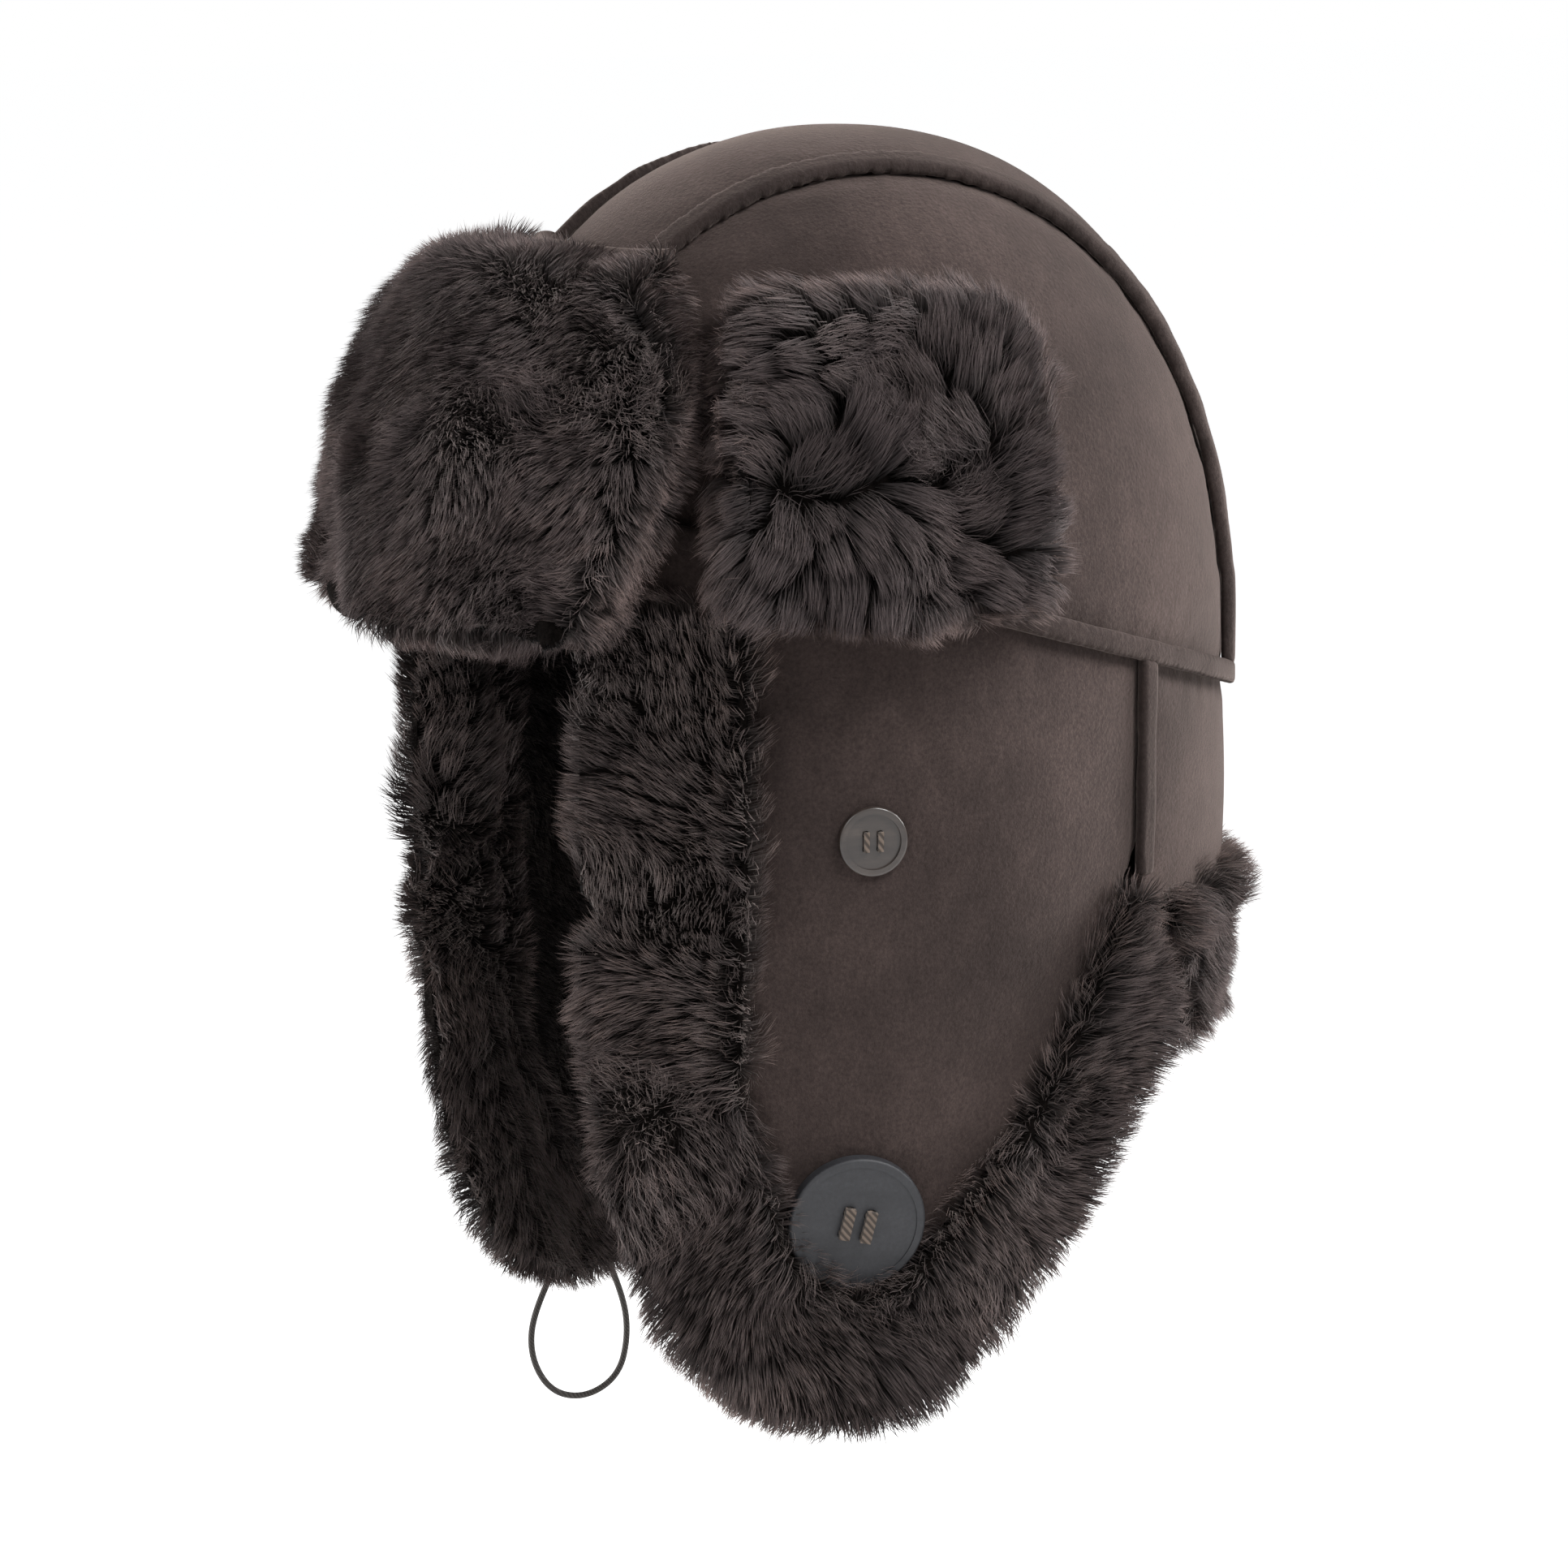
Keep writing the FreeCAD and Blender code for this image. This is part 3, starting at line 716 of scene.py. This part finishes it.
def strands(mesh, keep, flow, length, lean, density, seed, clump=7 * MM, gather=0.45, rim_tint=0.4):
    """Tapered strands over a mesh: their vertices, and a tint each, with painted rim light towards the rims,
    where the surface turns side-on to the head, and painted shade where it faces away from the head and at
    the edges of locks.
    """
    rng = np.random.default_rng(seed)
    place, normal = scatter(mesh, density, rng)
    kept = keep(place, normal)
    place, normal = place[kept][:MOST_STRANDS], normal[kept][:MOST_STRANDS]
    count = len(place)
    comb = combed(place, normal, flow, seed, rng)
    tilt = lean + TILT_PATCHES * noise(place, TILT_SIZE, seed + 4) + rng.normal(size=count) * TILT_SPREAD
    patches = LENGTH_PATCHES * noise(place, LENGTH_SIZE, seed + 5)
    tall = length * (1 + patches + LENGTH_SPREAD * rng.normal(size=count))
    tip = place + normal * (tall * np.cos(tilt))[:, None] + comb * (tall * np.sin(tilt))[:, None]
    tip, locks, lock, edge = gathered(place, tip, density, clump, gather, rng)
    verts = ribbons(place, normal, tip, tall, rng)
    tint = TINT_MIDDLE + TINT_PATCHES * noise(place, TINT_SIZE, seed + 6)
    # Painted shade between locks, darker the further out in its lock a strand stands
    tint = tint + TINT_SPREAD * rng.normal(size=count) - PAINTED_LOCK_SHADE * edge
    tint += TINT_LOCKS * rng.uniform(-1, 1, locks)[lock]
    # Painted rim light towards the rims of the piece, and painted shade where its surface faces away from the
    # head
    tint += rim_tint * (PAINTED_RIM_LIGHT_LEVEL - np.abs((normal * outward(place)).sum(1)))
    return verts, np.clip(tint, *TINT_RANGE)


def join_fur(name, base, verts, tint, strand_material):
    """One piece of the underwool surface and its strands."""
    count, ring = verts.shape[:2]
    points = vertex_array(base)
    faces = len(base.polygons)
    loops = len(base.loops)
    starts = np.empty(faces, dtype=np.int32)
    base.polygons.foreach_get("loop_start", starts)
    corners = np.empty(loops, dtype=np.int32)
    base.loops.foreach_get("vertex_index", corners)
    quad = np.array([0, 1, 3, 2, 2, 3, 4])
    along = np.array([STRAND_STEPS[k] for k in (0, 0, 1, 1, 1, 1, 2)])
    strand_loops = (len(points) + np.arange(count)[:, None] * ring + quad).ravel()
    strand_starts = (loops + np.arange(count)[:, None] * len(quad) + np.array([0, 4])).ravel()
    mesh = bpy.data.meshes.new(name)
    mesh.vertices.add(len(points) + count * ring)
    mesh.vertices.foreach_set("co", np.concatenate([points, verts.reshape(-1, 3)]).ravel())
    mesh.loops.add(loops + len(strand_loops))
    mesh.loops.foreach_set("vertex_index", np.concatenate([corners, strand_loops]).astype(np.int32))
    mesh.polygons.add(faces + len(strand_starts))
    mesh.polygons.foreach_set("loop_start", np.concatenate([starts, strand_starts]).astype(np.int32))
    mesh.update(calc_edges=True)
    uv = mesh.uv_layers.new(name="OFBake")
    uvs = np.zeros((loops + len(strand_loops), 2))
    uvs[:loops, 0] = 0.5
    uvs[loops:, 0] = np.repeat(tint, len(quad))
    uvs[loops:, 1] = np.tile(along, count)
    uv.data.foreach_set("uv", uvs.ravel())
    kind = np.concatenate([np.zeros(faces), np.ones(len(strand_starts))]).astype(np.int32)
    piece = new_object(name, mesh, PAINTED_SHADE_WOOL, strand_material)
    mesh.polygons.foreach_set("material_index", kind)
    mesh.shade_smooth()
    mesh.update()
    return piece


def puffed(name, sources, voxel, smooth, sink, lumps, seed, joined_to):
    """The underwool surface of a fur piece: rounded, drawn in by sink and lumpy.

    The side that lies on the skin stays where it is: the side towards the point joined_to (in mm) if
    there is one, and otherwise the side towards the head.
    """
    mesh = remeshed(name, sources, voxel, smooth)
    points = vertex_array(mesh)
    normals = normal_array(mesh)
    shift = -sink + lumps * noise(points, LUMP_SIZE, seed)
    shift = shift + lumps * SMALL_LUMPS * noise(points, SMALL_LUMP_SIZE, seed + 1)
    if joined_to is None:
        free = rise((normals * outward(points)).sum(1), -0.95, 0.5)
    else:
        away = unit(points - np.array(joined_to) * MM)
        free = rise((normals * away).sum(1), -0.55, 0.4)
    set_vertices(mesh, points + normals * (shift * free)[:, None])
    return mesh


def fur_piece(name, body, sources, flow, keep, length=12 * MM, lean=0.75, density=1.0, voxel=3 * MM,
              smooth=8, sink=5 * MM, lumps=1.6 * MM, seed=1, material=None, slot="fur", shape=None,
              joined_to=None, **more):
    """A fur piece that stands for its CAD pile."""
    base = puffed(name, sources, voxel, smooth, sink, lumps, seed, joined_to)
    if shape:
        shape(base)
    verts, tint = strands(base, keep, flow, length, lean, DENSITY * density, seed, **more)
    piece = join_fur(name, base, verts, tint, material or FUR)
    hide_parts(*sources)
    if body:
        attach(piece, body)
    return piece


def outer_side(limit):
    """Keeps the strands whose surface faces away from the head by more than the limit, a cosine."""
    return lambda place, normal: (normal * outward(place)).sum(1) > limit


def inner_side(limit):
    """Keeps the strands whose surface faces away from the head by less than the limit, a cosine."""
    return lambda place, normal: (normal * outward(place)).sum(1) < limit


def everywhere(place, normal):
    """Keeps every strand."""
    return np.full(len(place), True)


def steady(x, y, z):
    """Combed the same way everywhere."""
    return lambda place: np.tile(np.array([x, y, z], dtype=float), (len(place), 1))


def from_centre(x, y, z, down=0.0, whorl=0.0, calm=0.0):
    """Combed outward from a point, a little down, and round it; within calm metres of it, unruly."""
    def flow(place):
        spoke = place - np.array([x, y, z]) * MM
        away = unit(spoke)
        away += whorl * np.cross(outward(place), away)
        away[:, 2] -= down
        if calm:
            away *= np.clip(np.linalg.norm(spoke, axis=1) / calm, 0, 1)[:, None] ** 1.5
        return away
    return flow


def head_reach(angle):
    """How far the head's wall is from the centre, at an angle from the front."""
    return 1 / np.hypot(np.sin(angle) / HALF_BREADTH, np.cos(angle) / HALF_LENGTH)


def draw_in(points, ends):
    """The brim's points with its ends drawn in towards the front, most of all at the corners."""
    angle = np.arctan2(points[:, 0], -points[:, 1])
    near_end = rise(np.abs(np.degrees(angle)), BRIM_DRAWN_FROM, BRIM_DRAWN_OVER) ** 2
    low = rise(-points[:, 2], -BRIM_LOW, BRIM_LOW_OVER) ** 2
    high = rise(points[:, 2], BRIM_HIGH, BRIM_HIGH_OVER) ** 2
    turned = angle * (1 - near_end * (ends + BRIM_LOW_DRAWN * low + BRIM_HIGH_DRAWN * high))
    reach = np.hypot(points[:, 0], points[:, 1]) / head_reach(angle) * head_reach(turned)
    drawn = np.stack([reach * np.sin(turned), -reach * np.cos(turned), points[:, 2]], axis=1)
    return settle(drawn, BRIM_DROP)


def settle(points, drop):
    """Points with the upper part of a turned-up piece settled a little lower."""
    lower = points.copy()
    lower[:, 2] -= drop * rise(points[:, 2], SETTLE_FROM, SETTLE_OVER)
    return lower


def make_brim():
    """The brim's fur as a left and a right half, with its creases."""
    def folds(mesh):
        points = vertex_array(mesh)
        angle = np.degrees(np.arctan2(points[:, 0], -points[:, 1]))
        crease = np.zeros(len(points))
        for depth, centre, slant in CREASES:
            crease -= depth * fading(angle - centre + points[:, 2] * slant, CREASE_WIDTH)
        set_vertices(mesh, draw_in(points + normal_array(mesh) * crease[:, None], BRIM_FUR_DRAWN))
    for side, sign in SIDES:
        def keep(place, normal, sign=sign):
            return outer_side(-0.4)(place, normal) & (place[:, 0] * sign > 0)
        fur_piece("front_brim_fur_" + side, "front_brim", ("front_brim_pile",), steady(0.1, 0, -0.6), keep,
                  length=8.5 * MM, lean=0.5, density=1.15, voxel=3.5 * MM, smooth=12, sink=6.0 * MM,
                  lumps=1.9 * MM, seed=100, shape=folds, clump=4.5 * MM, gather=0.35)


def make_cuffs():
    """The cuffs' fur, combed out of a whorl."""
    def settled(mesh):
        set_vertices(mesh, settle(vertex_array(mesh), CUFF_FUR_DROP))
    for (side, sign), seed in zip(SIDES, (200, 230)):
        # The cuffs get strong painted shade in their middle and painted rim light at their edges
        fur_piece("side_cuff_fur_" + side, "side_cuff_" + side, ("side_cuff_pile_" + side,),
                  from_centre(sign * 118, -44, 46, 0.15, whorl=0.5 * sign, calm=38 * MM), outer_side(-0.4),
                  length=12 * MM, lean=0.8, voxel=3.5 * MM, smooth=12, sink=7.0 * MM, lumps=2.3 * MM,
                  seed=seed, shape=settled, clump=9 * MM, gather=0.6, rim_tint=1.0)


def lengthened(mesh):
    """The trim drawn up beside the brim's corner, its left tip a little lower and its right tip higher."""
    points = vertex_array(mesh)
    top = rise(points[:, 2], TRIM_LIFT_FROM, TRIM_LIFT_OVER) * (points[:, 1] < TRIM_FRONT)
    tip = rise(-points[:, 2], TRIM_TIP_FROM, TRIM_TIP_OVER)
    points[:, 2] += TRIM_LIFT * top - tip * np.where(points[:, 0] > 0, LEFT_TIP_DROP, RIGHT_TIP_DROP)
    set_vertices(mesh, points)


def tucked(mesh):
    """The neck fur with its lower edge tucked in."""
    points = vertex_array(mesh)
    lower = rise(-points[:, 2], TUCK_FROM, TUCK_OVER)
    set_vertices(mesh, points - outward(points) * (TUCK * lower)[:, None])


def make_trims():
    """The fur and the fleece of the ear panels and flaps, and the fur at the neck."""
    for (side, sign), fur_seed, fleece_seed in zip(SIDES, (300, 330), (360, 380)):
        rim = fur_piece(
            "ear_fur_" + side, None, ("ear_trim_" + side, "flap_trim_" + side),
            from_centre(sign * 60, -38, -120, 0.2), everywhere, length=9.5 * MM, lean=0.6, density=0.75,
            voxel=3 * MM, smooth=8, sink=4.8 * MM, lumps=0.5 * MM, seed=fur_seed, shape=lengthened,
            material=EDGE_FUR, joined_to=(sign * 84, -32, -90), clump=5 * MM, gather=0.4)
        blend_at_fold(rim)
        lining = fur_piece(
            "ear_fleece_" + side, None, ("ear_lining_" + side, "ear_flap_lining_" + side),
            steady(0, 0, -1), inner_side(0.2), length=6 * MM, lean=0.6, voxel=3 * MM, smooth=5,
            sink=0.6 * MM, lumps=0.8 * MM, density=0.7, seed=fleece_seed, material=FLEECE, slot="fleece")
        blend_at_fold(lining)
    fur_piece("neck_fur", "hat", ("neck_trim",), from_centre(0, 60, -100, 0.1), everywhere,
              length=10.5 * MM, lean=0.65, density=0.7, voxel=3.5 * MM, smooth=8, sink=5.5 * MM,
              lumps=1.6 * MM, seed=400, shape=tucked, material=EDGE_FUR, joined_to=(0, 100, -20),
              clump=7 * MM, gather=0.5)


LININGS = ("crown_centre_lining", "crown_side_lining_left", "crown_side_lining_right", "neck_lining")


def make_linings():
    """The fleece inside the crown and the neck."""
    for k, name in enumerate(LININGS):
        fur_piece(name.replace("lining", "fleece"), "hat", (name,), steady(0, 0.3, -0.6), inner_side(0.0),
                  length=5.5 * MM, lean=0.7, density=0.3, voxel=3 * MM, smooth=4, sink=0.5 * MM,
                  lumps=0.6 * MM, seed=500 + 10 * k, material=FLEECE, slot="fleece")


# ---------------------------------------------------------------- the suede side of brim and cuffs

def make_turned_suede():
    """The suede of the brim and the cuffs, and their hems."""
    pieces = (
        ("front_brim_shell", "front_brim", "front_brim_suede"),
        ("side_cuff_shell_left", "side_cuff_left", "side_cuff_suede_left"),
        ("side_cuff_shell_right", "side_cuff_right", "side_cuff_suede_right"),
        ("front_brim_hem", "hat", "front_brim_fold"),
        ("side_cuff_hem_left", "hat", "side_cuff_fold_left"),
        ("side_cuff_hem_right", "hat", "side_cuff_fold_right"),
    )
    for node, body, name in pieces:
        mesh = remeshed(name, (node,), TURNED_VOXEL, 4)
        points = vertex_array(mesh)
        ripple = TURNED_RIPPLE * noise(points, TURNED_RIPPLE_SIZE, 41)
        points = points + normal_array(mesh) * ripple[:, None]
        if node in ("front_brim_shell", "front_brim_hem"):
            points = draw_in(points, BRIM_SUEDE_DRAWN)
        elif "cuff_shell" in node:
            points = settle(points, CUFF_SUEDE_DROP)
        set_vertices(mesh, points)
        piece = new_object(name, mesh, SUEDE)
        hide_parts(node)
        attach(piece, body)


# ---------------------------------------------------------------- buttons, tape and chin loop

def dress(name, material):
    """Gives a CAD node its material."""
    slots = nodes[name].data.materials
    slots.clear()
    slots.append(material)


def make_buttons():
    """The buttons, their threads and the tape that holds the loop."""
    for side, _ in SIDES:
        dress("small_button_" + side, RESIN)
        dress("small_button_thread_" + side, THREAD)
    dress("large_button", SLATE)
    dress("large_button_thread", THREAD)
    dress("loop_anchor", TAPE)


# The chin loop's route in mm, from one end in the flap to the other
CORD_DIAMETER = 1.9 * MM
CORD_POINTS = [
    (-71.0, -53.0, -212.0),
    (-72.0, -59.5, -224.0),
    (-73.0, -60.5, -238.0),
    (-73.6, -53.5, -250.5),
    (-73.0, -42.0, -254.0),
    (-72.0, -31.0, -248.5),
    (-71.4, -28.0, -236.0),
    (-71.0, -30.0, -223.0),
    (-71.0, -35.0, -212.0),
]


def make_chin_loop():
    """The elastic loop under the right flap."""
    curve = bpy.data.curves.new("chin_loop_cord", "CURVE")
    curve.dimensions = "3D"
    curve.resolution_u = 12
    curve.bevel_depth = CORD_DIAMETER / 2
    curve.bevel_resolution = 6
    spline = curve.splines.new("NURBS")
    spline.points.add(len(CORD_POINTS) - 1)
    for point, place in zip(spline.points, CORD_POINTS):
        point.co = (*(c * MM for c in place), 1)
    spline.order_u = 3
    spline.use_endpoint_u = True
    loop = new_object("chin_loop_cord", curve, ELASTIC)
    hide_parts("chin_loop")
    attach(loop, "ear_flap_right")


# ---------------------------------------------------------------- camera, floor and light

def direction(azimuth, elevation):
    """The unit vector at an azimuth from the front and an elevation, in degrees."""
    a, e = math.radians(azimuth), math.radians(elevation)
    return Vector((math.sin(a) * math.cos(e), -math.cos(a) * math.cos(e), math.sin(e)))


def facing(toward):
    """The turn that points a camera or a lamp back along a direction."""
    return toward.to_track_quat("Z", "Y").to_euler()


def make_camera():
    """The camera, which looks a little down on the hat's left front."""
    toward = direction(VIEW_AZIMUTH, VIEW_ELEVATION)
    across = math.radians(VIEW_AZIMUTH)
    right = Vector((math.cos(across), math.sin(across), 0))
    data = bpy.data.cameras.new("camera")
    data.lens = VIEW_LENS
    data.sensor_width = VIEW_SENSOR
    data.clip_start = VIEW_CLIP
    camera = new_object("camera", data)
    camera.location = right * VIEW_RIGHT + toward.cross(right) * VIEW_UP + toward * VIEW_DISTANCE
    camera.rotation_euler = facing(toward)
    bpy.context.scene.camera = camera


def hidden_from_view(tree, shader):
    """A mix that shows its second shader to camera, glossy and transmission rays, and shader to the rest."""
    path = tree.nodes.new("ShaderNodeLightPath")
    first = tree.nodes.new("ShaderNodeMath")
    first.operation = "MAXIMUM"
    tree.links.new(path.outputs["Is Camera Ray"], first.inputs[0])
    tree.links.new(path.outputs["Is Glossy Ray"], first.inputs[1])
    second = tree.nodes.new("ShaderNodeMath")
    second.operation = "MAXIMUM"
    tree.links.new(first.outputs[0], second.inputs[0])
    tree.links.new(path.outputs["Is Transmission Ray"], second.inputs[1])
    mix = tree.nodes.new("ShaderNodeMixShader")
    tree.links.new(second.outputs[0], mix.inputs[0])
    tree.links.new(shader, mix.inputs[1])
    return mix


def make_world():
    """Dim, even light from all round, and white behind the hat."""
    world = bpy.data.worlds.new("studio")
    bpy.context.scene.world = world
    world.use_nodes = True
    tree = world.node_tree
    dim = tree.nodes["Background"]
    dim.inputs["Color"].default_value = (0.95, 0.97, 1.0, 1)
    dim.inputs["Strength"].default_value = WORLD_STRENGTH
    white = tree.nodes.new("ShaderNodeBackground")
    white.inputs["Color"].default_value = (1, 1, 1, 1)
    white.inputs["Strength"].default_value = 1.0
    mix = hidden_from_view(tree, dim.outputs[0])
    tree.links.new(white.outputs[0], mix.inputs[2])
    tree.links.new(mix.outputs[0], tree.nodes["World Output"].inputs[0])


def make_floor():
    """A plain pale floor under the hat."""
    grid = bmesh.new()
    bmesh.ops.create_grid(grid, x_segments=8, y_segments=8, size=FLOOR_SIZE)
    mesh = bpy.data.meshes.new("floor")
    grid.to_mesh(mesh)
    grid.free()
    material = bpy.data.materials.new("pale_floor")
    material.use_nodes = True
    tree = material.node_tree
    shader = tree.nodes["Principled BSDF"]
    shader.inputs["Base Color"].default_value = (0.82, 0.82, 0.82, 1)
    shader.inputs["Roughness"].default_value = 0.9
    glow = tree.nodes.new("ShaderNodeEmission")
    glow.inputs["Strength"].default_value = FLOOR_GLOW
    shaded = tree.nodes.new("ShaderNodeBsdfDiffuse")
    shaded.inputs["Color"].default_value = (FLOOR_SHADED, FLOOR_SHADED, FLOOR_SHADED, 1)
    seen = tree.nodes.new("ShaderNodeAddShader")
    tree.links.new(glow.outputs[0], seen.inputs[0])
    tree.links.new(shaded.outputs[0], seen.inputs[1])
    mix = hidden_from_view(tree, shader.outputs[0])
    tree.links.new(seen.outputs[0], mix.inputs[2])
    tree.links.new(mix.outputs[0], tree.nodes["Material Output"].inputs[0])
    floor = new_object("floor", mesh, material)
    floor.location = (0, 0, cad_box[0][2] - FLOOR_DROP)


def make_lights():
    """Round area lamps that all face the hat's middle."""
    for name, (azimuth, elevation, distance, size, power) in LAMPS.items():
        toward = direction(azimuth, elevation)
        data = bpy.data.lights.new(name, "AREA")
        data.shape = "DISK"
        data.size = size
        data.energy = power
        lamp = new_object(name, data)
        lamp.location = toward * distance + LAMPS_AROUND
        lamp.rotation_euler = facing(toward)
    bpy.context.scene.view_settings.view_transform = "Standard"


make_camera()
make_chin_loop()
make_crown()
make_ear_panels()
make_brim()
make_cuffs()
make_trims()
make_linings()
make_turned_suede()
make_buttons()
make_world()
make_floor()
make_lights()
